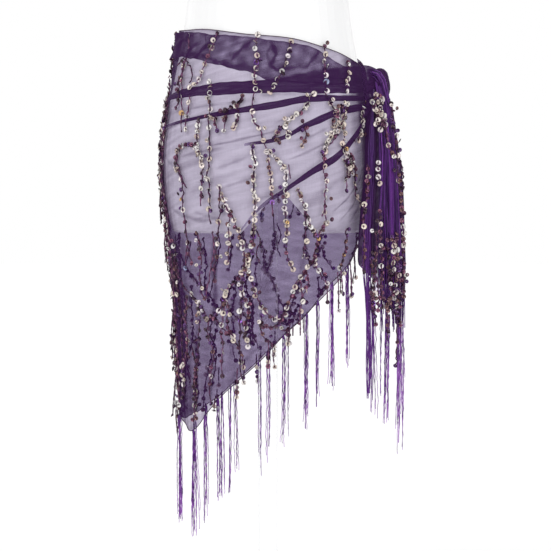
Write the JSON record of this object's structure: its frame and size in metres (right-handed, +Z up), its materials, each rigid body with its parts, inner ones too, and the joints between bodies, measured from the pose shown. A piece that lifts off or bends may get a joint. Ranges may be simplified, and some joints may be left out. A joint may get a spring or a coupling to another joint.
{
  "type": "belly dance hip scarf on a dress form",
  "caption": "Sheer triangular hip scarf with sequin chains and long strand fringe, tied at one hip round a smooth limbless hip form on a round stand.",
  "frame": {"origin": "centre of the stand base's underside", "axes": "+Z up, the form's front towards -Y, the knot at +X, the scarf's hanging point at -X"},
  "size_m": [0.389, 0.34, 1.2144],
  "materials": {
    "form_plastic": "smooth white, satin",
    "clear_acrylic": "clear, polished",
    "base_metal": "white paint, satin",
    "violet_mesh": "sheer dark violet mesh, fine weave",
    "violet_fringe": "silky violet strands",
    "sequin_light": "champagne and rose iridescent foil, high gloss",
    "sequin_dark": "plum and bronze iridescent foil, high gloss",
    "thread": "dark violet fluffy thread"
  },
  "bodies": {
    "root": {"form_body": "form_plastic", "stand_rod": "clear_acrylic", "stand_base": "base_metal", "wrap_front": "violet_mesh", "wrap_back": "violet_mesh", "band_front": "violet_mesh", "band_back": "violet_mesh", "pleat_front_1": "violet_mesh", "pleat_front_2": "violet_mesh", "pleat_front_3": "violet_mesh", "pleat_front_4": "violet_mesh", "pleat_back_1": "violet_mesh", "pleat_back_2": "violet_mesh", "pleat_back_3": "violet_mesh", "knot": "violet_mesh", "tail_front": "violet_mesh", "tail_back": "violet_mesh", "fringe_front": "violet_fringe", "fringe_back": "violet_fringe", "fringe_tail_front": "violet_fringe", "fringe_tail_back": "violet_fringe"}
  },
  "joints": []
}
